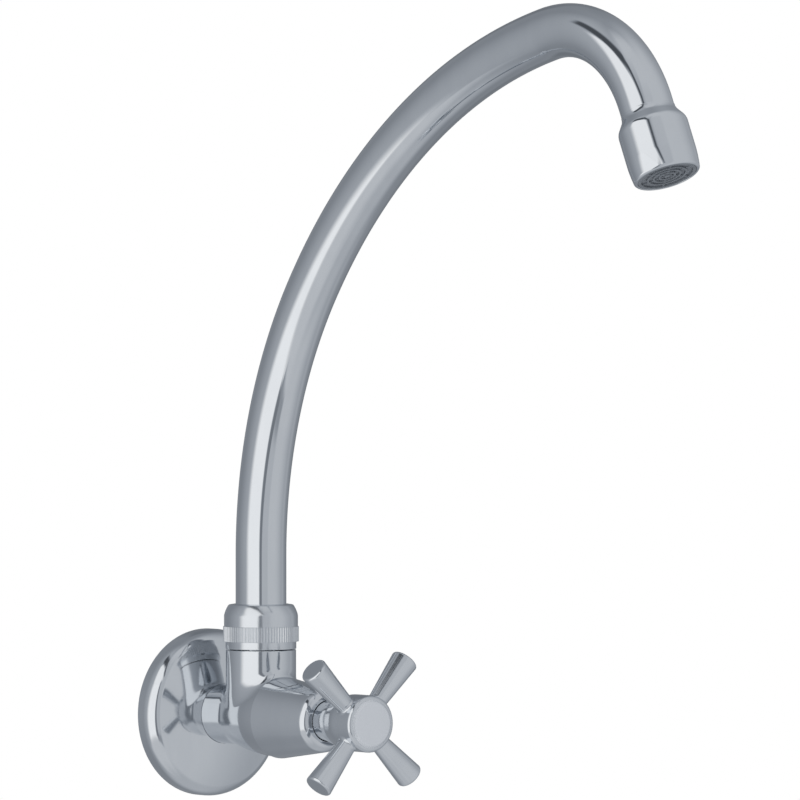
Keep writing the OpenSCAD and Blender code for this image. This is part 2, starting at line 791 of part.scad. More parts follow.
module aerator_screen() {
    screen_r = aerator_bore_r - fit_gap;
    wire_gap = 2 * screen_r / (screen_wires + 1);
    middle = (screen_wires - 1) / 2;
    color("gray") from_mouth() translate([0, 0, screen_in]) {
        tube(screen_r, screen_r - screen_rim, 0, screen_rim);
        for (turn = [0, 90], i = [0:screen_wires - 1])
            rotate([0, 0, turn]) wire(screen_r - screen_rim / 2, (i - middle) * wire_gap);
    }
}

module aerator_mixer() {
    mixer_r = aerator_bore_r - fit_gap;
    color("lightgray") from_mouth() difference() {
        rod(mixer_r, mixer_in, mixer_in + mixer_h);
        for (ring = [1:2], i = [0:6 * ring - 1])
            rotate([0, 0, 60 * i / ring])
                translate([mixer_ring_pitch * mixer_r * ring, 0, mixer_in - lap])
                    cylinder(r = mixer_hole_r, h = mixer_h + 2 * lap);
    }
}

module aerator_housing() {
    pitch = aerator_bore_r / (grille_rings + 0.5);
    grille_end = aerator_recess + grille_h;
    rib_l = aerator_bore_r + aerator_wall / 2 - pitch / 4;
    color("darkgray") from_mouth() {
        tube(aerator_r, aerator_bore_r, aerator_recess, aerator_end);
        rod(pitch / 2, aerator_recess, grille_end);
        for (k = [1:grille_rings - 1])
            tube(pitch * (k + 0.5), pitch * (k + 0.5) - grille_ring_w, aerator_recess, grille_end);
        for (i = [0:grille_ribs - 1])
            rotate([0, 0, 360 * i / grille_ribs])
                translate([pitch / 4, -grille_rib_w / 2, aerator_recess + grille_rib_in])
                    cube([rib_l, grille_rib_w, grille_h - 2 * grille_rib_in]);
    }
}

wall_flange();
faucet_body();
bonnet_gasket();
bonnet();
gland_packing();
gland_nut();
bonnet_cover();
lower_slip_washer();
upper_slip_ring();
swivel_nut();
jumper_valve();
valve_washer();
washer_nut();
valve_stem();
cross_handle();
handle_screw();
index_cap();
spout_tail();
spout_orings();
spout_tube();
outlet_bell();
aerator_gasket();
aerator_screen();
aerator_mixer();
aerator_housing();
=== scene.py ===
# %% [markdown]
# # Wall-mounted swan-neck sink tap
# The measured model gives every part its true size and place. This notebook gives the parts their finish, rounds
# over the cast and pressed shapes, and sets the tap up in a small studio. The work runs from the wall to the mouth
# of the spout, the way the water does.

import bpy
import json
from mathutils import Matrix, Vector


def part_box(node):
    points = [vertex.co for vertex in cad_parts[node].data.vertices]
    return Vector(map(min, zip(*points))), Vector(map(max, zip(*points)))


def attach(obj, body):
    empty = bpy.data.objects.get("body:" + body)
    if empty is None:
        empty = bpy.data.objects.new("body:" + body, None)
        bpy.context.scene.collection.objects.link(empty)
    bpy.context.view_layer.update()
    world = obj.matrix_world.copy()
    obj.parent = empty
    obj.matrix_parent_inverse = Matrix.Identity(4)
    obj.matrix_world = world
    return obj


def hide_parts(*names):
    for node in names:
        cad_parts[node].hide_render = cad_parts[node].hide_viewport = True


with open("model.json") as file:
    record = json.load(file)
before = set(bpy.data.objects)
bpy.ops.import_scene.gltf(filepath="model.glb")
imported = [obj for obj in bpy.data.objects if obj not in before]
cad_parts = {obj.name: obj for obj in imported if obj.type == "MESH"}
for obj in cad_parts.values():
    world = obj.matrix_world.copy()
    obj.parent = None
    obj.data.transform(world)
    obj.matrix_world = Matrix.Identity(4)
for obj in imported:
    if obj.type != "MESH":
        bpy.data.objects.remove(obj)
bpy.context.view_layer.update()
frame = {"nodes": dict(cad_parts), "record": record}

import json
import math

import bpy
import numpy as np
from mathutils import Vector

MM = 0.001
nodes = frame["nodes"]

# %% [markdown]
# ## Writing a finish
# A finish is a small graph of nodes. Written node by node it is long and hard to read, so two helpers do the
# wiring: one makes any node, and one lets a node's output be used in ordinary sums.


# %% Helper: sums on node outputs
class Value:
    """One output of a node, so that a + b and a * b add the Math nodes that work them out."""

    def __init__(self, finish, socket):
        self.finish, self.socket = finish, socket

    def _sum(self, operation, first, second):
        return self.finish.node("ShaderNodeMath", {"operation": operation}, [first, second])

    def __add__(self, other):
        return self._sum("ADD", self, other)

    def __mul__(self, other):
        return self._sum("MULTIPLY", self, other)

    __radd__, __rmul__ = __add__, __mul__


# %% Helper: one node at a time
class Finish:
    """The node graph of a material or the world, with one method that adds a node."""

    def __init__(self, owner):
        owner.use_nodes = True
        self.owner, self.tree = owner, owner.node_tree
        self.tree.nodes.clear()

    def node(self, kind, settings, sockets, output=0):
        """Adds a node: its type, its settings, then the values or links of its sockets by place or name."""
        made = self.tree.nodes.new(kind)
        for name, value in settings.items():
            setattr(made, name, value)
        pairs = sockets.items() if isinstance(sockets, dict) else enumerate(sockets)
        for place, value in pairs:
            if isinstance(value, Value):
                self.tree.links.new(value.socket, made.inputs[place])
            else:
                made.inputs[place].default_value = value
        return Value(self, made.outputs[output]) if made.outputs else made

    def surface(self, sockets):
        """Ends a material: a Principled surface with these sockets, joined to the output."""
        self.node("ShaderNodeOutputMaterial", {}, [self.node("ShaderNodeBsdfPrincipled", {}, sockets)])
        return self.owner

    def ramp(self, factor, stops, low=0.0, high=1.0):
        """factor carried from the range stops[0]..stops[1] to low..high, smoothly."""
        return self.node(
            "ShaderNodeMapRange",
            {"interpolation_type": "SMOOTHSTEP"},
            {0: factor, 1: stops[0], 2: stops[1], 3: low, 4: high},
        )

    def mix(self, factor, first, second):
        """first where factor is 0 and second where it is 1, as colours."""
        return self.node(
            "ShaderNodeMix", {"data_type": "RGBA"}, {0: factor, 6: first, 7: second}, output=2
        )

    def noise(self, scale, detail=2.0, roughness=0.5, stretch=(1, 1, 1)):
        """Soft random blotches fixed to the piece, `scale` of them to the metre."""
        place = self.node("ShaderNodeTexCoord", {}, {}, output=3)
        place = self.node("ShaderNodeMapping", {}, {0: place, 3: stretch})
        return self.node(
            "ShaderNodeTexNoise", {}, {"Vector": place, "Scale": scale, "Detail": detail, "Roughness": roughness}
        )


# %% [markdown]
# ## Bright chromium plate
# The body, spout and handle are brass, polished, nickelled and flashed with chromium. Chromium is a clean, very
# slightly blue mirror. What tells a real one from a perfect mirror is small: the polishing leaves a shallow
# waviness a few millimetres long, wiping leaves faint hazy streaks, and dried water a few dull specks. Those go
# into the roughness and a very low bump, and the colour stays almost even. A painted picture of the plate could do
# it too, but noise fixed to the piece keeps its scale on every shape. Turned pieces are the brightest, spun sheet is
# a little wavier, castings are polished by hand and softer, and the nut, the thread and the cap are satin.


# %% Finish: metals
WIPED_STREAKS, WATER_SPECKS, SPECK_DULLNESS = 90, 900, 0.06


def metal(name, dark, light, rough, haze, wave, wave_size=160, stretch=(1, 1, 1)):
    """Metal: a colour that drifts from dark to light, haze and dull specks in the roughness, and in the bump
    waves or tool marks, `wave_size` of them to the metre."""
    f = Finish(bpy.data.materials.new(name))
    streaks = f.noise(WIPED_STREAKS, 3, 0.6, (1, 1, 0.25))
    specks = f.ramp(f.noise(WATER_SPECKS, 1, 0.4), (0.66, 0.76))
    colour = f.mix(f.ramp(streaks, (0.3, 0.7)), (*dark, 1), (*light, 1))
    roughness = f.ramp(streaks, (0.35, 0.75), rough, rough + haze) + specks * SPECK_DULLNESS
    height = f.noise(wave_size, 2, 0.5, stretch)
    bump = f.node("ShaderNodeBump", {}, {"Strength": wave, "Distance": 0.0004, "Height": height})
    return f.surface({"Base Color": colour, "Metallic": 1.0, "Roughness": roughness, "Normal": bump})


CHROMIUM = ((0.690, 0.716, 0.748), (0.712, 0.738, 0.768))
chrome = metal("chromium_turned", *CHROMIUM, 0.04, 0.02, 0.012)
spun_chrome = metal("chromium_spun_sheet", *CHROMIUM, 0.07, 0.04, 0.03, 120)
cast_chrome = metal("chromium_on_casting", *CHROMIUM, 0.07, 0.04, 0.03, 190)
satin_chrome = metal("chromium_satin", *CHROMIUM, 0.15, 0.05, 0.03, 420)
cap_satin = metal("cap_satin", (0.84, 0.86, 0.89), (0.88, 0.90, 0.93), 0.34, 0.06, 0.03, 600)
print("metals:", ", ".join(m.name for m in (chrome, spun_chrome, cast_chrome, satin_chrome, cap_satin)))

# %% [markdown]
# ## What the plate doesn't cover
# Inside the tap the metal is bare machined brass with fine tool marks round it, the screw and the screen are
# stainless steel, and the seals are rubber, red fibre and graphited packing. The slip rings are nylon. The aerator is
# a moulding in dark grey plastic with a fine matt skin. Most of this shows only when the tap is taken apart, but
# each still gets its own colour, grain and sheen.


# %% Finish: rubber, fibre, nylon and plastic
PALE_FLECK = (0.5, 0.5, 0.5, 1)


def dull(name, dark, light, rough, grain, depth, flecks=0.0):
    """A surface that isn't metal: blotches from dark to light, a bump of `grain` grains to the metre with the
    given depth, and pale flecks."""
    f = Finish(bpy.data.materials.new(name))
    blotch = f.noise(150, 3, 0.6)
    fine = f.noise(grain, 2, 0.6)
    colour = f.mix(f.ramp(blotch, (0.3, 0.7)), (*dark, 1), (*light, 1))
    if flecks:
        colour = f.mix(f.ramp(fine, (0.6, 0.75), 0.0, flecks), colour, PALE_FLECK)
    roughness = f.ramp(blotch + fine, (0.6, 1.4), rough, rough + 0.15)
    bump = f.node("ShaderNodeBump", {}, {"Strength": depth, "Distance": 0.0003, "Height": fine})
    return f.surface({"Base Color": colour, "Roughness": roughness, "Normal": bump})


FINISHES = {
    "chrome": chrome,
    "brass": metal("brass_machined", (0.66, 0.47, 0.21), (0.74, 0.56, 0.28), 0.20, 0.12, 0.12, 260, (1, 9, 1)),
    "steel": metal("stainless_steel", (0.48, 0.48, 0.49), (0.56, 0.56, 0.57), 0.24, 0.10, 0.06, 500),
    "rubber": dull("black_rubber", (0.018, 0.018, 0.019), (0.032, 0.031, 0.030), 0.50, 1500, 0.25),
    "fibre": dull("red_fibre", (0.24, 0.050, 0.028), (0.33, 0.078, 0.042), 0.55, 1200, 0.35, 0.12),
    "packing": dull("graphited_packing", (0.035, 0.035, 0.037), (0.075, 0.075, 0.078), 0.42, 1100, 0.6, 0.25),
    "nylon": dull("white_nylon", (0.70, 0.69, 0.64), (0.78, 0.77, 0.73), 0.38, 900, 0.08),
    "plastic": dull("grey_plastic", (0.165, 0.183, 0.208), (0.190, 0.210, 0.238), 0.42, 2200, 0.10, 0.05),
}
SLOTS = {row["node"]: row["material_slot"] for row in frame["record"]["subparts"]}
for name, node in nodes.items():
    node.data.materials.clear()
    node.data.materials.append(FINISHES[SLOTS[name]])
print("finishes by slot:", {slot: sum(1 for s in SLOTS.values() if s == slot) for slot in FINISHES})

# %% [markdown]
# ## Shapes made in arrays
# Three ways of making cover every bright piece. A lathe-turned piece is an outline carried round an axis. The spout
# is a ring carried along its centre line. A casting is a field, a number at every point that is below zero in the
# metal, whose zero surface is meshed, because only a field gives soft fillets where round shapes run into each
# other. Each way also knows the true slope of its surface and stores it, since a mirror shows every facet.


# %% Helper: a mesh object from arrays
def put_in_scene(name, data):
    """An object at the origin, in the scene, that shows a mesh, a lamp or a camera."""
    made = bpy.data.objects.new(name, data)
    bpy.context.scene.collection.objects.link(made)
    return made


def add_piece(name, points, faces, slopes, body, material, slot="chrome"):
    """Makes the piece `name` from points in millimetres, faces as rows of corner numbers (a repeated corner makes a
    triangle) and one outward direction for each point."""
    folded = faces[:, 0] == faces[:, 1]
    faces = np.where(folded[:, None], np.roll(faces, 2, 1), faces)
    keep = faces[:, -1] != faces[:, -2]
    corners = np.where(keep, 4, 3)
    loops = faces.ravel()[np.stack([np.ones_like(keep)] * 3 + [keep], 1).ravel()]
    mesh = bpy.data.meshes.new(name)
    mesh.vertices.add(len(points))
    mesh.vertices.foreach_set("co", (points * MM).astype(np.float32).ravel())
    mesh.loops.add(len(loops))
    mesh.loops.foreach_set("vertex_index", loops.astype(np.int32))
    mesh.polygons.add(len(faces))
    mesh.polygons.foreach_set("loop_start", (np.cumsum(corners) - corners).astype(np.int32))
    mesh.polygons.foreach_set("use_smooth", np.ones(len(faces), bool))
    mesh.update(calc_edges=True)
    mesh.validate()
    mesh.normals_split_custom_set_from_vertices(slopes.astype(np.float32))
    mesh.materials.append(material)
    piece = put_in_scene(name, mesh)
    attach(piece, body)
    triangles = int(np.sum(corners - 2))
    print(f"{name}: {len(points)} points, {triangles} triangles")
    return piece


# %% Helper: outlines for turned pieces
def arc(centre, radius, start, end, steps):
    """Points centre + radius * (cos a, sin a) for a from start to end degrees, as (radius, height) pairs."""
    a = np.radians(np.linspace(start, end, steps + 1))[:, None]
    return np.array(centre) + radius * np.hstack([np.cos(a), np.sin(a)])


def rounded(corners, steps=5):
    """A closed outline from (radius, height, rounding) rows. Each corner becomes an arc of its rounding, tangent to
    both sides: centre = corner + (rounding / sin(half)) * bisector."""
    rows = np.array(corners, float)
    place, r = rows[:, :2], rows[:, 2]
    before = np.roll(place, 1, 0) - place
    after = np.roll(place, -1, 0) - place
    before /= np.linalg.norm(before, axis=1, keepdims=True)
    after /= np.linalg.norm(after, axis=1, keepdims=True)
    outline = []
    for corner, b, a, radius in zip(place, before, after, r):
        half = math.acos(max(-1.0, min(1.0, float(b @ a)))) / 2
        if radius <= 0 or half > math.radians(89):
            outline.append(corner[None])
            continue
        centre = corner + (b + a) / np.linalg.norm(b + a) * radius / math.sin(half)
        first = corner + b * radius / math.tan(half) - centre
        last = corner + a * radius / math.tan(half) - centre
        t = np.linspace(0, 1, steps + 1)[:, None]
        turn = math.pi - 2 * half
        outline.append(centre + (np.sin((1 - t) * turn) * first + np.sin(t * turn) * last) / math.sin(turn))
    return np.vstack(outline)


def plain(points, rounding=0.0):
    """Outline rows (radius, height, rounding) from points that need no rounding of their own."""
    return [(r, h, rounding) for r, h in points]


def twice_area(outline):
    """Twice the area inside a closed outline: the sum of r[i] h[i+1] - r[i+1] h[i]. It is above zero where the
    outline runs anticlockwise."""
    after = np.roll(outline, -1, 0)
    return np.sum(outline[:, 0] * after[:, 1] - after[:, 0] * outline[:, 1])


def outward(outline):
    """The outward direction at each point of a closed outline: the mean of its two sides' directions, each weighted
    by the cube of its length, so that a short arc step doesn't bend a long straight side."""
    side = np.roll(outline, -1, 0) - outline
    length = np.linalg.norm(side, axis=1, keepdims=True)
    across = np.stack([side[:, 1], -side[:, 0]], 1) / length * length**3
    slope = across + np.roll(across, 1, 0)
    return np.sign(twice_area(outline)) * slope / np.linalg.norm(slope, axis=1, keepdims=True)


# %% Helper: turn an outline
def grid_faces(index):
    """Four-cornered faces between the neighbours in a grid of point numbers."""
    return np.stack([index[:-1, :-1], index[:-1, 1:], index[1:, 1:], index[1:, :-1]], -1).reshape(-1, 4)


def ring_faces(rows, columns):
    """Faces of a grid of rows x columns that closes on itself both ways."""
    index = np.arange(rows * columns).reshape(rows, columns)
    return grid_faces(np.pad(index, ((0, 1), (0, 1)), "wrap"))


def turned(outline, foot, axis, sectors=192, relief=None):
    """Carries a closed outline round an axis: point(i, j) = foot + height[i] * axis + (radius[i] + relief) *
    (cos t[j] * u + sin t[j] * v). Returns points, faces and outward directions."""
    axis = np.array(axis, float)
    u = np.cross([1.0, 0.0, 0.0] if abs(axis[0]) < 0.9 else [0.0, 1.0, 0.0], axis)
    u /= np.linalg.norm(u)
    v = np.cross(axis, u)
    t = np.linspace(0, 2 * math.pi, sectors, endpoint=False)
    spoke = np.cos(t)[:, None] * u + np.sin(t)[:, None] * v
    slope = outward(outline)
    radius = outline[:, :1] + (relief(outline, t) if relief else 0.0) * np.ones((1, sectors))
    points = np.array(foot) + outline[:, 1, None, None] * axis + radius[..., None] * spoke
    slopes = slope[:, 1, None, None] * axis + slope[:, 0, None, None] * spoke
    faces = ring_faces(len(outline), sectors)
    number = np.arange(len(outline) * sectors).reshape(-1, sectors)
    number = np.where(outline[:, :1] == 0, number[:, :1], number)
    faces = number.ravel()[faces]
    anticlockwise = twice_area(outline) > 0
    if not anticlockwise:
        faces = faces[:, ::-1]
    if relief:
        slopes = grid_slopes(points, anticlockwise)
    used, faces = np.unique(faces, return_inverse=True)
    return points.reshape(-1, 3)[used], faces.reshape(-1, 4), slopes.reshape(-1, 3)[used]


def grid_slopes(points, anticlockwise):
    """Outward directions of a closed grid, from the cross product of its central differences."""
    along = np.roll(points, -1, 0) - np.roll(points, 1, 0)
    around = np.roll(points, -1, 1) - np.roll(points, 1, 1)
    slopes = np.cross(around, along) * (1 if anticlockwise else -1)
    return slopes / np.maximum(np.linalg.norm(slopes, axis=2, keepdims=True), 1e-12)


# %% Helper: points and faces of a field's surface
def field_slope(field, points, step=0.02):
    """Gradient of the field by central differences."""
    axes = np.eye(3) * step
    return np.stack([field(points + a) - field(points - a) for a in axes], 1) / (2 * step)


def net_points(value, low, step):
    """One point in each grid cell that the surface crosses, at the mean of the crossings on the cell's edges, with
    the number of each cell's point. A crossing's share of its edge is a / (a - b)."""
    cell = tuple(n - 1 for n in value.shape)
    total, crossings = np.zeros(cell + (3,), np.float32), np.zeros(cell, np.int16)
    for k in range(3):
        here = tuple(slice(None, -1) if m == k else slice(None) for m in range(3))
        there = tuple(slice(1, None) if m == k else slice(None) for m in range(3))
        a, b = value[here], value[there]
        crossed = (a < 0) != (b < 0)
        share = np.where(crossed, a / np.where(crossed, a - b, 1), 0)
        m, n = (k + 1) % 3, (k + 2) % 3
        for dm, dn in ((0, 0), (0, 1), (1, 0), (1, 1)):
            pick = [slice(None)] * 3
            pick[m], pick[n] = slice(dm, dm + cell[m]), slice(dn, dn + cell[n])
            hit = crossed[tuple(pick)]
            crossings += hit
            total[..., k] += share[tuple(pick)] * hit
            total[..., m] += dm * hit
            total[..., n] += dn * hit
    active = crossings > 0
    numbers = np.full(cell, -1)
    numbers[active] = np.arange(np.count_nonzero(active))
    return np.array(low) + step * (np.argwhere(active) + total[active] / crossings[active][:, None]), numbers


def net_faces(inside, numbers):
    """One face round each grid edge that the surface crosses, through the points of the edge's four cells, turned so
    that it looks away from the metal."""
    faces = []
    for k in range(3):
        m, n = (k + 1) % 3, (k + 2) % 3
        here = [slice(1, -1)] * 3
        here[k] = slice(None, -1)
        there = list(here)
        there[k] = slice(1, None)
        a, b = inside[tuple(here)], inside[tuple(there)]
        edge = np.argwhere(a != b)
        leaving = a[tuple(edge.T)]
        edge[:, m] += 1
        edge[:, n] += 1
        em, en = np.eye(3, dtype=int)[m], np.eye(3, dtype=int)[n]
        ring = [edge - em - en, edge - en, edge, edge - em]
        quad = np.stack([numbers[tuple(c.T)] for c in ring], 1)
        faces.append(np.where(leaving[:, None], quad, quad[:, ::-1]))
    return np.vstack(faces)


# %% Helper: cast a field
SETTLING_ROUNDS, LEAST_SLOPE, LONGEST_MOVE = 4, 0.05, 0.4


def cast(field, low, high, step):
    """The zero surface of a field inside a box, by surface nets on a grid of `step`. Each point is then moved onto the
    surface a few times: p - f * g / |g|^2, with g the gradient, and never by more than part of a step."""
    count = np.ceil((np.array(high) - low) / step).astype(int) + 1
    axes = [low[k] + step * np.arange(count[k]) for k in range(3)]
    planes = [
        field(np.stack(np.meshgrid([x], axes[1], axes[2], indexing="ij"), -1).reshape(-1, 3)) for x in axes[0]
    ]
    value = np.stack(planes).reshape(count)
    points, numbers = net_points(value, low, step)
    for _ in range(SETTLING_ROUNDS):
        slope = field_slope(field, points)
        move = (field(points) / np.maximum(np.sum(slope**2, 1), LEAST_SLOPE))[:, None] * slope
        points = points - np.clip(move, -LONGEST_MOVE * step, LONGEST_MOVE * step)
    slope = field_slope(field, points)
    return points, net_faces(value < 0, numbers), slope / np.linalg.norm(slope, axis=1, keepdims=True)


# %% Helper: fields that fill the castings
def blend_union(a, b, soft):
    """Joins two fields with a fillet about `soft` wide: min(a, b) - soft / 4 * max(0, 1 - |a - b| / soft)^2."""
    return np.minimum(a, b) - soft / 4 * np.maximum(0, 1 - np.abs(a - b) / soft) ** 2


def round_cut(a, b, radius):
    """Where both fields are below zero, with the edge between them rounded to a radius."""
    over = np.hypot(np.maximum(a + radius, 0), np.maximum(b + radius, 0))
    return np.minimum(np.maximum(a, b) + radius, 0) + over - radius


def rod_field(across, along, radius, start, end, edge=0.3):
    """A round rod: its side at `radius` (a number or one for each point) and its ends at start and end."""
    return round_cut(across - radius, np.maximum(start - along, along - end), edge)


# %% [markdown]
# ## Driving sizes
# The sizes below are the tap's own, in millimetres. Depths run forwards from the wall, reaches forwards from the
# swivel column, and heights up from the inlet's axis. Where the measured model's own boxes give a size, it is read
# from there.


# %% Sizes: wall, body and handle
def span(node, axis):
    """Lowest and highest value of a measured part along one axis, in millimetres."""
    low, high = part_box(node)
    return low[axis] / MM, high[axis] / MM


UP, FORWARDS, INLET = (0.0, 0.0, 1.0), (0.0, -1.0, 0.0), (0.0, 0.0, 0.0)
column_out = -sum(span("swivel_nut", 1)) / 2
COLUMN = (0.0, -column_out, 0.0)
flange_r = span("wall_flange", 0)[1]
barrel_r, column_r, boss_r = 12.9, 15.0, 16.9
barrel_end, swell_start, body_front = 9.0, 27.0, -span("faucet_body", 1)[0]
register_l, register_r = 2.3, boss_r - 1.5
boss_front = body_front - register_l
column_h, spigot_r, spigot_top = 28.4, 13.22, span("faucet_body", 2)[1]
inlet_r, inlet_bore_r, inlet_end = 10.4775, 7.0, -span("faucet_body", 1)[1]
fit = 0.05
print(f"column {column_out:.2f} out, flange radius {flange_r:.2f}, body to {body_front:.2f}, top {spigot_top:.2f}")

# %% [markdown]
# ## Wall flange
# This is a disc of thin brass spun over a form, with a short straight rim, a tight rounding and a very shallow dome.
# The barrel passes through a plain hole in it, and it hides the hole in the tiles. A flattened dome could stand in
# for it, but the rim, rounding and dome each mirror the room in their own way. Spinning leaves a true round shape,
# so it is turned from its outline, with the wall as thick as the sheet.

# %% Piece: wall flange
sheet, rim_h, round_r, round_turn, dome_r = 1.2, 4.2, 6.5, 72, 110.0
hole_r, hole_edge, rim_edge = barrel_r + 0.06, 0.12, 0.2
round_c = np.array([flange_r - round_r, rim_h])
turn = math.radians(round_turn)
dome_c = round_c + (round_r - dome_r) * np.array([math.cos(turn), math.sin(turn)])
hole_turn = math.degrees(math.acos((hole_r - dome_c[0]) / dome_r))
hole_in = math.degrees(math.acos((hole_r - dome_c[0]) / (dome_r - sheet)))
outer_dome = arc(dome_c, dome_r, round_turn, hole_turn, 12)
inner_dome = arc(dome_c, dome_r - sheet, hole_in, round_turn, 12)
flange_outline = rounded(
    [(flange_r, 0, rim_edge)]
    + plain(arc(round_c, round_r, 0, round_turn, 26))
    + plain(outer_dome[1:-1])
    + plain(outer_dome[-1:], hole_edge)
    + plain(inner_dome[:1], hole_edge)
    + plain(inner_dome[1:-1])
    + plain(arc(round_c, round_r - sheet, round_turn, 0, 18))
    + [(flange_r - sheet, 0, rim_edge)]
)
flange_rings = turned(flange_outline, INLET, FORWARDS, sectors=256)
flange = add_piece("chromed_flange", *flange_rings, "tap", spun_chrome)
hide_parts("wall_flange")

# %% [markdown]
# ## Body
# The body is a brass casting: a barrel from the wall, a column that carries the swivel joint and a boss that
# takes the valve. It is cast in one piece and polished, so the barrel, column and boss run into each other over a
# soft fillet with no edge. Two crossed tubes would meet in a hard crease, and a field gives the fillet, which widens
# upwards on the column. The waterway inside is cut from the same field.

# %% Piece: body casting
swell_blend, boss_edge, barrel_edge, column_edge, spigot_edge, bore_edge = 0.6, 0.4, 0.8, 0.3, 0.6, 0.25
fillet_thin, fillet_growth, fillet_foot, fillet_rise = 0.3, 4.0, 2.0, 9.0
# Radius, start and end of each length of the waterway, forwards from the wall and up the column.
BARREL_WATERWAY = ((inlet_bore_r, 0, 28.5), (6.0, 20, 45), (10.25, 33.5, 50), (11.9, 46.5, 70))
COLUMN_WATERWAY = ((6.0, 0, 30), (9.85, 20.7, 60))


def body_field(p):
    """The casting less its waterway. Each round part is its distance to its own axis less its radius. The boss draws
    in towards the wall by the square of the distance behind its front."""
    x, depth, z = p[:, 0], -p[:, 1], p[:, 2]
    across = np.hypot(x, z)
    round_column = np.hypot(x, depth - column_out)
    narrowing = (boss_r - barrel_r) * (np.maximum(boss_front - depth, 0) / (boss_front - swell_start)) ** 2
    cone = across - boss_r + narrowing
    barrel = blend_union(across - barrel_r, cone, swell_blend)
    barrel = round_cut(barrel, depth - boss_front, boss_edge)
    barrel = round_cut(barrel, barrel_end - depth, barrel_edge)
    column = np.hypot(round_column, np.minimum(z, 0)) - column_r
    column = round_cut(column, z - column_h, column_edge)
    rise = np.clip((z - fillet_foot) / fillet_rise, 0, 1)
    solid = blend_union(barrel, column, fillet_thin + fillet_growth * rise**2 * (3 - 2 * rise))
    solid = np.minimum(solid, rod_field(across, depth, register_r, boss_front - 3, body_front))
    solid = np.minimum(solid, rod_field(round_column, z, spigot_r, 0, spigot_top, spigot_edge))
    bores = [rod_field(across, depth, *bore) for bore in BARREL_WATERWAY]
    bores += [rod_field(round_column, z, *bore) for bore in COLUMN_WATERWAY]
    return round_cut(solid, -np.minimum.reduce(bores), bore_edge)


margin = 1.0
low = (-boss_r - margin, -body_front - margin, -boss_r - margin)
high = (boss_r + margin, margin - barrel_end, spigot_top + margin)
body = add_piece("chromed_body", *cast(body_field, low, high, step=0.5), "tap", cast_chrome)
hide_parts("faucet_body")

# %% [markdown]
# ## Inlet thread
# Behind the flange the casting carries the pipe thread that holds the tap in the wall: fourteen turns to the inch,
# with rounded crests and roots. It is plated with the casting but left as it was cut, so it is duller than the rest.
# A bump would give its shading, but the crests show at the outline, so the thread is a turned outline with its
# radius lowered along a helix.

# %% Piece: inlet thread
pitch, thread_depth, thread_end, inlet_lap = 25.4 / 14, 1.16, barrel_end - 1.5, 1.0
thread_start, thread_rows, end_bevel = inlet_end + 1.3, 160, 0.1


def thread_relief(outline, t):
    """Depth below the crest: -depth * (1 - cos(2 pi * height / pitch - t)) / 2 on the outer wall, faded out over the
    last pitch before the barrel."""
    height = outline[:, 1:]
    wave = (1 - np.cos(2 * math.pi * height / pitch - t)) / 2
    fade = np.clip((thread_end - height) / pitch, 0, 1)
    return -thread_depth * wave * fade * (outline[:, :1] > inlet_bore_r + 1)


threaded = np.linspace(thread_start, thread_end + 0.5, thread_rows)
thread_outline = rounded(
    [(inlet_bore_r, inlet_end, 0.3), (inlet_bore_r, barrel_end + inlet_lap, 0), (inlet_r, barrel_end + inlet_lap, 0)]
    + [(inlet_r, height, 0) for height in threaded[::-1]]
    + [(inlet_r - end_bevel, inlet_end, end_bevel)]
)
thread_rings = turned(thread_outline, INLET, FORWARDS, sectors=96, relief=thread_relief)
add_piece("inlet_pipe_thread", *thread_rings, "tap", satin_chrome)

# %% [markdown]
# ## Swivel nut
# The nut is turned from brass and holds the spout down on the column. It has a plain foot, a band of fine straight
# knurling for the fingers, and a plain top that draws in over a soft shoulder to the tube. A bump could draw the
# ribs, but the knurl is pressed into the band and breaks its outline, so the ribs are part of the turned surface.

# %% Piece: swivel nut
nut_foot, nut_top = span("swivel_nut", 2)
foot_r, top_r, knurl_r = 15.1, 15.8, span("swivel_nut", 0)[1]
band_foot, band_h = nut_foot + 3.2, 6.4
knurl_depth, knurl_ribs, knurl_steepness, points_to_a_rib = 0.35, 80, 1.6, 12
band_top = band_foot + band_h
shoulder_h, shoulder_in, bulge = 4.3, 1.8, 22
crown_h, crown_slope, crown_r = 0.7, 12, 0.8
nut_thread_r, nut_hole_r, nut_ceiling = spigot_r + fit, 11.15, spigot_top + 4.6
shoulder_r = math.hypot(shoulder_h, shoulder_in) / (2 * math.sin(math.radians(bulge / 2)))
lean = math.degrees(math.atan(shoulder_in / shoulder_h)) - bulge / 2
shoulder_foot = nut_top - crown_h - shoulder_h
shoulder_c = np.array([top_r, shoulder_foot]) - shoulder_r * np.array(
    [math.cos(math.radians(lean)), math.sin(math.radians(lean))]
)
shoulder_end = math.radians(lean + bulge)
crown_c = shoulder_c + (shoulder_r - crown_r) * np.array([math.cos(shoulder_end), math.sin(shoulder_end)])
nut_outline = rounded(
    [(nut_thread_r, nut_foot, 0.2), (foot_r, nut_foot, 0.3), (foot_r, band_foot, 0.1)]
    + [(knurl_r, band_foot, 0.12), (knurl_r, band_top, 0.12), (top_r, band_top, 0.1)]
    + plain(arc(shoulder_c, shoulder_r, lean, lean + bulge, 14))
    + plain(arc(crown_c, crown_r, lean + bulge, 90 - crown_slope, 10)[1:])
    + [(nut_hole_r, nut_top, 0.3), (nut_hole_r, nut_ceiling, 0), (nut_thread_r, nut_ceiling, 0)],
    steps=4,
)


def knurl_relief(outline, t):
    """Depth below the crest: -depth * (0.5 - steepness * cos(ribs * t)), with the bracket kept between 0 and 1, on
    the band alone."""
    wave = np.clip(0.5 - knurl_steepness * np.cos(knurl_ribs * t), 0, 1)
    return -knurl_depth * wave * (outline[:, :1] > (knurl_r + top_r) / 2)


nut_rings = turned(nut_outline, COLUMN, UP, sectors=knurl_ribs * points_to_a_rib, relief=knurl_relief)
nut = add_piece("knurled_nut", *nut_rings, "tap", satin_chrome)
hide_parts("swivel_nut")

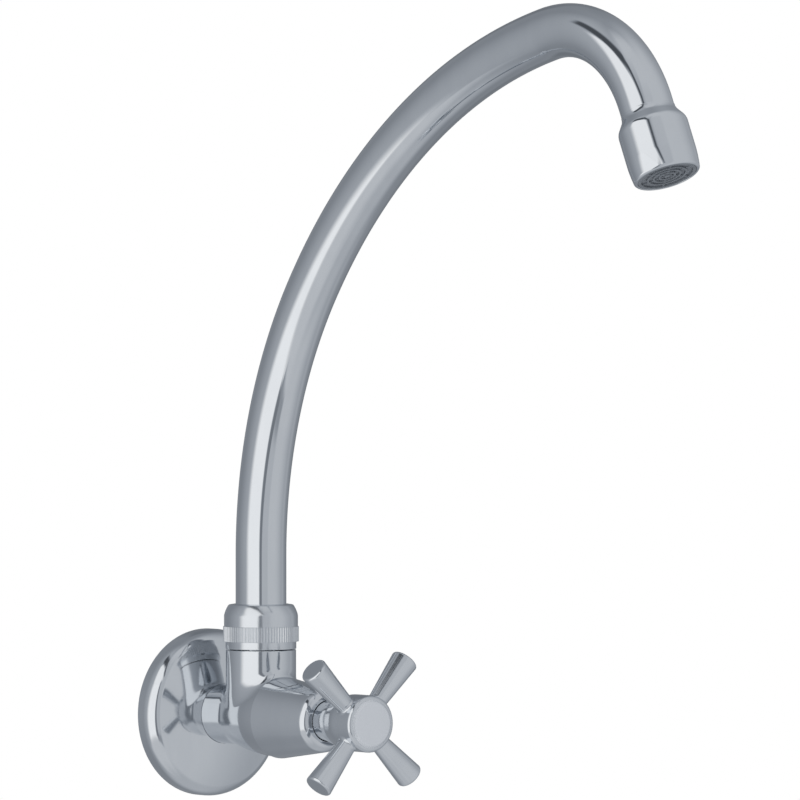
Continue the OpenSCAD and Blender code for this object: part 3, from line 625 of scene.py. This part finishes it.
# %% [markdown]
# ## Bonnet cover
# This thin bell of brass slides over the valve's bonnet and hides its hexagon. It tapers forwards from the
# boss and ends in a bull-nose round the handle's skirt, with a dark ring of a gap between them. It could be a solid
# cone, but the gap looks into it, so it is turned from an outline of both its outside and its hollow.

# %% Piece: bonnet cover
cover_back, cover_front = -span("bonnet_cover", 1)[1], -span("bonnet_cover", 1)[0]
cover_back_r, cover_taper, cover_wall = span("bonnet_cover", 0)[1], 7.8, 1.6
nose_r, cover_hole_r, cover_hole_l, cover_edge_r = 4.0, 8.78, 2.4, 0.12
lip_r, lip_l, land_r, land_back, land_front = register_r + fit, 0.8, 11.45, 69.05, 73.75
taper = math.radians(cover_taper)


def cover_r(depth):
    """Outside radius of the taper: the radius at its back less (depth - back) * tan(taper)."""
    return cover_back_r - (depth - cover_back) * math.tan(taper)


def cover_inner_r(depth):
    """Inside radius of the taper: the outside radius less wall / cos(taper)."""
    return cover_r(depth) - cover_wall / math.cos(taper)


nose_touch = cover_front - nose_r + nose_r * math.sin(taper)
nose_c = np.array([cover_r(nose_touch) - nose_r * math.cos(taper), cover_front - nose_r])
cover_outline = rounded(
    [(lip_r, cover_back, 0.1)]
    + plain(arc((cover_back_r - cover_edge_r, cover_back + cover_edge_r), cover_edge_r, -90, cover_taper, 8))
    + plain(arc(nose_c, nose_r, cover_taper, 90, 24))
    + [(cover_hole_r, cover_front, 0.25), (cover_hole_r, cover_front - cover_hole_l, 0)]
    + plain(arc(nose_c, nose_r - cover_wall, 90, cover_taper, 8))
    + [(cover_inner_r(land_front + 1), land_front + 1, 0), (land_r, land_front, 0), (land_r, land_back, 0)]
    + [(cover_inner_r(land_back - 1), land_back - 1, 0), (cover_inner_r(body_front), body_front + lip_l, 0)]
    + [(lip_r, body_front, 0)]
)
cover = add_piece("chromed_cover", *turned(cover_outline, INLET, FORWARDS, sectors=224), "tap", chrome)
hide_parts("bonnet_cover")

# %% [markdown]
# ## Cross handle
# Hub and arms are one casting. The skirt turns inside the cover's nose, the hub widens from it in a cone with
# softened ends, and four arms widen outwards to rounded ends. Turned arms pushed into a turned hub would show a
# crease, and the polishing wheel leaves a small fillet there, so this casting is a field as well. The hub's radius
# is worked out once along its depth and looked up by the field.

# %% Piece: cross handle
hub_r, hub_back, hub_front = 12.0, cover_front - 4.9, -span("cross_handle", 1)[0]
skirt_r, cone_out, cone_l, face_round = 8.6, 1.8, 14.7, 1.7
arm_turn, arm_out, arm_reach, arm_start = 48, hub_front - 6.9, 34.9, 3
arm_root_r, arm_end_r, arm_round_r, arm_fillet = 3.95, 5.95, 1.1, 1.2
arm_slope = (arm_end_r - arm_root_r) / (arm_reach - hub_r)
cap_r, cap_seat, cavity_r, screw_hole_r = 9.2, hub_front - 2.6, 5.2, 2.2
web_front, web_back, square, back_edge, cut_edge = arm_out - 6, arm_out - 11.2, 3.35, 0.3, 0.2
cone_back = cover_front + cone_out
profile_depth = np.linspace(hub_back - 4, hub_front + 4, 1601)
profile_r = np.interp(profile_depth, [cone_back, cone_back + cone_l], [skirt_r, hub_r])
polish_steps = 120
polish = np.hanning(2 * polish_steps + 1)
profile_r = np.convolve(np.pad(profile_r, polish_steps, "edge"), polish / np.sum(polish), "valid")
print(f"hub radius at the cover's hole: {np.interp(cover_front, profile_depth, profile_r):.2f} of {cover_hole_r}")


def handle_field(p):
    """Hub and arms joined by a fillet, less the square hole, the screw's hole and the cap's recess. An arm is its
    distance to its own line, which is turned to the nearest of four, less a radius that grows outwards."""
    x, depth, z = p[:, 0], -p[:, 1], p[:, 2]
    across = np.hypot(x, z)
    profile = np.interp(depth, profile_depth, profile_r)
    hub = round_cut(across - profile, depth - hub_front, face_round)
    hub = round_cut(hub, hub_back - depth, back_edge)
    turn = np.degrees(np.arctan2(z, x)) - arm_turn
    turn = np.radians((turn + 45) % 90 - 45)
    along, aside = across * np.cos(turn), across * np.sin(turn)
    side = (np.hypot(aside, depth - arm_out) - arm_root_r - arm_slope * (along - hub_r)) / math.hypot(1, arm_slope)
    arms = np.maximum(round_cut(side, along - arm_reach, arm_round_r), arm_start - along)
    solid = blend_union(hub, arms, arm_fillet)
    hollow = rod_field(across, depth, cap_r + fit / 2, cap_seat, hub_front + 5)
    hollow = np.minimum(hollow, rod_field(across, depth, cavity_r, web_front, hub_front))
    hollow = np.minimum(hollow, rod_field(across, depth, screw_hole_r, web_back - 2, web_front + 2))
    drive = np.maximum(np.maximum(np.abs(x), np.abs(z)) - square, depth - web_back)
    return round_cut(solid, -np.minimum(hollow, drive), cut_edge)


low = (-arm_reach, -hub_front - margin, -arm_reach)
high = (arm_reach, margin - hub_back, arm_reach)
handle = add_piece("chromed_cross_handle", *cast(handle_field, low, high, step=0.42), "handle", cast_chrome)
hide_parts("cross_handle")

# %% [markdown]
# ## Index cap
# This plug hides the handle's screw. It stands a little proud of the hub, its sloped edge laps over the hub's
# face, and its face is satin and bare. A plain disc would do from the front, but the edge catches a line of light,
# so the whole plug is turned from its outline, skirt and all.

# %% Piece: index cap
cap_front = -span("index_cap", 1)[0]
lap_r, edge_in, edge_round, edge_tip = hub_r - face_round, 1.1, 1.6, 0.04
plug_r, plug_wall, plug_l = cavity_r - fit, 1.0, 4.0
cap_outline = rounded(
    [(0, cap_front, 0), (lap_r - edge_in, cap_front, edge_round), (lap_r, hub_front, edge_tip)]
    + [(cap_r, hub_front, 0), (cap_r, cap_seat + fit, 0.1), (plug_r, cap_seat + fit, 0)]
    + [(plug_r, cap_seat - plug_l, 0.3), (plug_r - plug_wall, cap_seat - plug_l, 0.2)]
    + [(plug_r - plug_wall, cap_seat + 1, 0), (0, cap_seat + 1, 0)]
)
cap = add_piece("hub_cap", *turned(cap_outline, INLET, FORWARDS), "handle", cap_satin)
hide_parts("index_cap")

# %% [markdown]
# ## Spout
# A brass tube, bent three times in one plane: a long rise, a longer bend to the crown and a tight one down to the
# outlet. Every bend is tangent to the next, so the reflections run along it without a break. A thick curve object
# could give the shape, but carrying a ring along the centre line also makes the bore and the exact slopes.

# %% Piece: spout tube
tube_r, tube_wall, tube_foot, bend_start = 10.85, 1.0, span("spout_tube", 2)[0], 69.0
BENDS = ((196.5, 35.1), (251.5, 43.5), (53.5, 77.2))
tail_l, socket_l, tube_sectors = 3.2, 6.0, 120


def centre_line(steps_to_a_radian=60):
    """Places (reach, height) and headings of the centre line, from the straight foot through the three bends to the
    straight end. On a bend: place = centre + radius * (-cos turn, sin turn)."""
    place, turn = np.array([0.0, bend_start]), 0.0
    rows = [(0.0, tube_foot, 0.0)] + [(0.0, h, 0.0) for h in np.linspace(tube_foot, bend_start, 9)[1:-1]]
    for radius, degrees in BENDS:
        centre = place + radius * np.array([math.cos(turn), -math.sin(turn)])
        end = turn + math.radians(degrees)
        count = max(int((end - turn) * steps_to_a_radian * (radius / 100) ** 0.5), 24)
        for a in np.linspace(turn, end, count + 1)[:-1]:
            rows.append((*(centre + radius * np.array([-math.cos(a), math.sin(a)])), a))
        place, turn = centre + radius * np.array([-math.cos(end), math.sin(end)]), end
    heading = np.array([math.sin(turn), math.cos(turn)])
    rows += [(*(place + heading * length), turn) for length in (0.0, tail_l, tail_l + socket_l)]
    return np.array(rows), place, turn


line, last_place, last_turn = centre_line()
print(f"centre line of {len(line)} places, which ends {math.degrees(last_turn):.1f} degrees from upright")


def tube_rings(line, radius, sectors):
    """Rings round the centre line: point = place + radius * (sin t * x - cos t * side), with side at right angles to
    the heading and to x."""
    t = np.linspace(0, 2 * math.pi, sectors, endpoint=False)
    turn = line[:, 2, None]
    out = np.stack([np.sin(t) + 0 * turn, -np.cos(t) * np.cos(turn), -np.cos(t) * np.sin(turn)], -1)
    place = np.stack([0 * line[:, 0], -column_out - line[:, 0], line[:, 1]], -1)[:, None]
    return place + radius * out, out


outer, outer_slopes = tube_rings(line, tube_r, tube_sectors)
inner, inner_slopes = tube_rings(line[::-1], tube_r - tube_wall, tube_sectors)
rings = np.vstack([outer, inner])
slopes = np.vstack([outer_slopes, -inner_slopes])
faces = ring_faces(len(rings), tube_sectors)
spout = add_piece("chromed_spout_tube", rings.reshape(-1, 3), faces, slopes.reshape(-1, 3), "spout", chrome)
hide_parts("spout_tube")

# %% [markdown]
# ## Outlet bell
# The bell is brazed over the tube's end: a short neck flares to a plain cylinder that draws in a little towards a
# rounded mouth, where the aerator screws in. It could be one piece with the tube, but its outline has arcs of its
# own, so it is turned about the heading in which the tube ends.

# %% Piece: outlet bell
bell_r, bell_flare_l, bell_l, belly_l, belly_r, lip_round = 14.2, 8.0, 20.3, 9.7, 60.0, 1.2
neck_wall, neck_round, bell_shoulder_r, flare_turn = 0.15, 5.5, 4.8, 31
mouth_thread_r, mouth_recess, mouth_thread_end = 12.0, 0.2, 16.5
socket_end, bell_bore_r = socket_l + fit, tube_r - tube_wall
mouth = bell_flare_l + bell_l
belly_c = np.array([bell_r - belly_r, mouth - belly_l])
belly_turn = math.degrees(math.asin((belly_l - lip_round) / (belly_r - lip_round)))
lip_c = belly_c + (belly_r - lip_round) * np.array(
    [math.cos(math.radians(belly_turn)), math.sin(math.radians(belly_turn))]
)
bell_outline = rounded(
    [(tube_r, 0, 0)]
    + plain(arc((tube_r + neck_wall + neck_round, 0), neck_round, 180, 180 - flare_turn, 12))
    + plain(arc((bell_r - bell_shoulder_r, bell_flare_l), bell_shoulder_r, -flare_turn, 0, 14))
    + plain(arc(belly_c, belly_r, 0, belly_turn, 8)[1:])
    + plain(arc(lip_c, lip_round, belly_turn, 90, 12)[1:])
    + [(mouth_thread_r + mouth_recess, mouth, 0.1), (mouth_thread_r, mouth - mouth_recess, 0)]
    + [(mouth_thread_r, mouth_thread_end, 0), (bell_bore_r, mouth_thread_end, 0)]
    + [(bell_bore_r, socket_end, 0), (tube_r, socket_end, 0)]
)
heading = np.array([0.0, -math.sin(last_turn), math.cos(last_turn)])
bell_foot = np.array([0.0, -column_out - last_place[0], last_place[1]]) + heading * tail_l
bell = add_piece("chromed_outlet_bell", *turned(bell_outline, bell_foot, heading), "spout", chrome)
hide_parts("outlet_bell")

# %% [markdown]
# ## Aerator mesh
# Between the rings of the aerator's face lies a disc of fine mesh that breaks the jet up. It closes the view into
# the bell. Its colour is painted a little lighter than the plastic rings, as painted light against the shade in the
# grooves, so the face looks even and grey. A turned disc with a woven finish is enough for so fine a weave.

# %% Piece: aerator mesh
mesh_r, mesh_edge, mesh_sunk, mesh_thickness = 10.65 - fit, 0.1, 0.95, 0.3
mesh_front = mouth - mesh_sunk
mesh_back = mesh_front - mesh_thickness
mesh_outline = rounded(
    [(0, mesh_front, 0), (mesh_r, mesh_front, mesh_edge), (mesh_r, mesh_back, mesh_edge), (0, mesh_back, 0)]
)
# Painted light: the mesh is a little lighter than the grey plastic, so that in the shade of the grooves it shows at
# the rings' tone.
woven = dull("woven_mesh_lightened_for_groove_shade", (0.17, 0.188, 0.214), (0.21, 0.231, 0.262), 0.5, 1800, 0.3)
add_piece("aerator_mesh", *turned(mesh_outline, bell_foot, heading, sectors=96), "spout", woven, slot="steel")

# %% [markdown]
# ## Studio
# Bright metal has no colour of its own: it shows the room. The room could be built from separate lamps and
# boards, but each would have a hard edge in the metal. Here it is one sphere that is seen only in reflections, with
# the boards of a product studio laid on it in soft-edged tones: a tall soft box with a dark frame on the camera's
# left, a dark gap beside the camera, walls that fall away into shade, a pale sweep below and a grey ceiling.
# Directions are degrees turned from the camera to its right, and degrees raised from level.

# %% Studio: directions
VIEW_TURN = math.radians(38.64)
TOWARD = np.array([-math.sin(VIEW_TURN), -math.cos(VIEW_TURN), 0.0])
ACROSS = np.array([math.cos(VIEW_TURN), -math.sin(VIEW_TURN), 0.0])
CENTRE = np.array([0.0, -0.15, 0.16])


def direction(turn, rise):
    """Unit vectors turned from the camera's side to its right, and raised, both in degrees:
    cos(rise) * (cos(turn) * toward + sin(turn) * across) + sin(rise) * up."""
    turn, rise = np.radians(turn)[..., None], np.radians(rise)[..., None]
    level = np.cos(turn) * TOWARD + np.sin(turn) * ACROSS
    return np.cos(rise) * level + np.sin(rise) * np.array(UP)


print("towards the camera:", direction(np.array(0.0), np.array(0.0)).round(3))


# %% Studio: the boards
def edge(value, place, soft):
    """0 before a place and 1 after it, smoothly over `soft` degrees: 3 s^2 - 2 s^3."""
    s = np.clip((value - place) / soft + 0.5, 0, 1)
    return s * s * (3 - 2 * s)


def board(tones, turn, rise, sides, heights, tone, soft_sides=(4, 4), soft_heights=(4, 4), arch=0.0):
    """Lays one board over the tones: tones + (tone - tones) * cover. Its sides are its left and right turn, each a
    number or a pair (at its foot, at its head), heights its lowest and highest rise, and arch lowers the head at
    both sides by the square of the distance from its middle."""
    low, high = heights
    share = np.clip((rise - low) / (high - low), 0, 1)
    left, right = (np.broadcast_to(side, 2) for side in sides)
    left, right = left[0] + (left[1] - left[0]) * share, right[0] + (right[1] - right[0]) * share
    bow = arch * (2 * (turn - left) / (right - left) - 1) ** 2
    cover = edge(turn, left, soft_sides[0]) * (1 - edge(turn, right, soft_sides[1]))
    cover = cover * edge(rise, low, soft_heights[0]) * (1 - edge(rise + bow, high, soft_heights[1]))
    return tones + (tone - tones) * cover


SHADE = 0.289
# Name, left and right, foot and head, tone, softness of left and right, softness of foot and head, arch.
BOARDS = (
    ("left wall", (-102, 20), (-95, 95), 0.48, (64, 4), (1, 1), 0),
    ("right wall", (2, 113), (-95, 95), 0.62, (6, 100), (1, 1), 0),
    ("shade of the right wall", (119, 132), (-49, 30), 0.48, (18, 22), (20, 40), 0),
    ("ceiling", (-250, 250), (75, 99), 0.35, (1, 1), (33, 1), 0),
    ("ceiling over the camera", (-24, 42), (51, 77), 0.63, (30, 30), (24, 18), 0),
    ("panel beside the camera", (0, 30), (-38, 41), 0.55, (3, 8), (3, 20), 0),
    ("sweep", (-250, 250), (-99, -60), 0.52, (1, 1), (1, 27), 0),
    ("sweep under the soft box", (-94, 24), (-75, -43), 0.65, (28, 41), (27, 6), 0),
    ("seam of the sweep", (-13, 24), (-44, -35), 0.36, (4, 10), (4, 6), 0),
    ("behind the wall, left", (-250, -160), (-30, 52), 0.21, (1, 14), (14, 14), 0),
    ("behind the wall, right", (159, 250), (-29, 52), 0.23, (15, 1), (14, 14), 0),
    ("head of the soft box's frame", (-89, -24), (46, 60), 0.09, (8, 6), (6, 6), 3),
    ("side of the soft box's frame", ((3, -33), (8, -21)), (23, 53), 0.10, (4, 5), (5, 6), 0),
    ("soft box, upper", ((-68, -80), (3, -31)), (20, 47.3), 1.03, (15, 4), (3, 4), 6),
    ("soft box, lower", ((-80, -66), -12), (-42, 21), 1.06, (20, 3), (9, 4), 0),
    ("gap beside the camera", ((-18, -9), (0, -3)), (-40, 20), 0.24, (7, 4), (3, 20), 0),
)
print("boards in the room:", len(BOARDS))

# %% Studio: the room
# Tones below PALE lean to blue, fully at COOL_RANGE below it.
PALE, COOL_RANGE, COOL = 0.86, 0.78, (-0.10, -0.017, 0.105)


def room_colours(tones):
    """A colour for each tone: tone * (1 + COOL * (PALE - tone) / COOL_RANGE), with the last factor kept in 0..1."""
    cool = np.clip((PALE - tones) / COOL_RANGE, 0, 1).ravel()[:, None] * np.array(COOL)
    return np.hstack([tones.reshape(-1, 1) * (1 + cool), np.ones((tones.size, 1))])


def room(radius=0.62, step=1.0):
    """The sphere: point = centre + radius * direction(turn, rise) over a grid of degrees, with a tone for each point.
    Only reflections see it."""
    turn, rise = np.meshgrid(np.arange(-180, 180 + step, step), np.arange(-90, 90 + step, step))
    tones = np.full(turn.shape, SHADE)
    for _, sides, heights, tone, soft_sides, soft_heights, arch in BOARDS:
        tones = board(tones, turn, rise, sides, heights, tone, soft_sides, soft_heights, arch)
    faces = grid_faces(np.arange(turn.size).reshape(turn.shape))
    points = (CENTRE + radius * direction(turn, rise)).reshape(-1, 3)
    mesh = bpy.data.meshes.new("studio_room")
    mesh.vertices.add(len(points))
    mesh.vertices.foreach_set("co", points.astype(np.float32).ravel())
    mesh.loops.add(faces.size)
    mesh.loops.foreach_set("vertex_index", faces.astype(np.int32).ravel())
    mesh.polygons.add(len(faces))
    mesh.polygons.foreach_set("loop_start", np.arange(0, faces.size, 4, dtype=np.int32))
    mesh.update(calc_edges=True)
    attribute = mesh.color_attributes.new("tone", "FLOAT_COLOR", "POINT")
    attribute.data.foreach_set("color", room_colours(tones).ravel())
    f = Finish(bpy.data.materials.new("studio_room"))
    tone = f.node("ShaderNodeAttribute", {"attribute_name": "tone"}, {})
    glow = {"Base Color": (0, 0, 0, 1), "Specular IOR Level": 0.0, "Emission Color": tone, "Emission Strength": 1.0}
    mesh.materials.append(f.surface(glow))
    piece = put_in_scene("studio_room", mesh)
    piece.visible_camera = piece.visible_diffuse = piece.visible_shadow = False
    print(f"room tones from {tones.min():.2f} to {tones.max():.2f}")


room()

# %% [markdown]
# ## Floor, lamps and air
# The floor is a plain pale sheet well below the tap, as the tap hangs from a wall. Reflections leave it out, because
# the sweep of the room stands for it there. Four soft lamps light what isn't metal, and reflections leave them out
# too. The air behind everything is white wherever it is looked at or mirrored. A lit white wall could give that
# white as well, but it would throw its light back on the tap.

# %% Studio: floor
floor_height, floor_half = -0.75, 3.0
mesh = bpy.data.meshes.new("floor")
quarters = ((-1, -1), (1, -1), (1, 1), (-1, 1))
mesh.from_pydata([(x * floor_half, y * floor_half, floor_height) for x, y in quarters], [], [(0, 1, 2, 3)])
mesh.materials.append(
    Finish(bpy.data.materials.new("pale_floor")).surface({"Base Color": (0.8, 0.8, 0.8, 1), "Roughness": 0.7})
)
floor = put_in_scene("floor", mesh)
floor.visible_glossy = False
print("floor at", floor_height, "m,", 2 * floor_half, "m wide")


# %% Studio: lamps
def soft_lamp(name, turn, rise, distance, width, height, watts):
    """A rectangular soft lamp that looks at the tap's centre from a direction: place = centre + distance * side."""
    lamp = bpy.data.lights.new(name, "AREA")
    lamp.shape, lamp.size, lamp.size_y, lamp.energy = "RECTANGLE", width, height, watts
    made = put_in_scene(name, lamp)
    side = direction(np.array(turn), np.array(rise))
    made.location = CENTRE + side * distance
    made.rotation_euler = Vector(-side).to_track_quat("-Z", "Y").to_euler()
    made.visible_glossy = False
    print(f"{name}: {watts} W, {distance} m from the tap's centre")


soft_lamp("key_lamp", -36, 5, 1.6, 1.3, 1.9, 9)
soft_lamp("fill_lamp", 70, 20, 2.0, 1.5, 1.5, 6)
soft_lamp("top_lamp", 10, 80, 1.8, 1.5, 1.5, 6)
soft_lamp("low_lamp", 0, -50, 1.0, 0.8, 0.8, 2)

# %% Studio: air
world = bpy.data.worlds.new("studio")
bpy.context.scene.world = world
f = Finish(world)
path = f.node("ShaderNodeLightPath", {}, {}).socket.node
seen = [Value(f, path.outputs[name]) for name in ("Is Camera Ray", "Is Glossy Ray", "Is Transmission Ray")]
white = f.node("ShaderNodeBackground", {}, {"Color": (1, 1, 1, 1), "Strength": 1.0})
air = f.node("ShaderNodeBackground", {}, {"Color": (0.96, 0.98, 1.0, 1), "Strength": 0.5})
mixed = f.node("ShaderNodeMixShader", {}, [seen[0] + seen[1] + seen[2], air, white])
f.node("ShaderNodeOutputWorld", {}, [mixed])
print("nodes in the world:", len(world.node_tree.nodes))

# %% [markdown]
# ## Camera
# The lens is long and far away, level with the tap and well to the left of its front, so that the flange and the
# handle show as ellipses. A nearer camera would be simpler to place, but it would bend the spout's reach. The small
# shift brings the whole tap into the frame while the lens stays level, so upright edges stay upright.

# %% Studio: camera
camera = put_in_scene("camera", bpy.data.cameras.new("camera"))
camera.location = (-1.620815, -2.162615, 0.15611)
camera.rotation_euler = (math.pi / 2, 0, -VIEW_TURN)
camera.data.sensor_width, camera.data.lens = 36, 281.06
camera.data.shift_y, camera.data.clip_end = -0.0617, 50
bpy.context.scene.camera = camera
bpy.context.scene.view_settings.view_transform = "Standard"
print("camera at", camera.location, "lens", camera.data.lens)
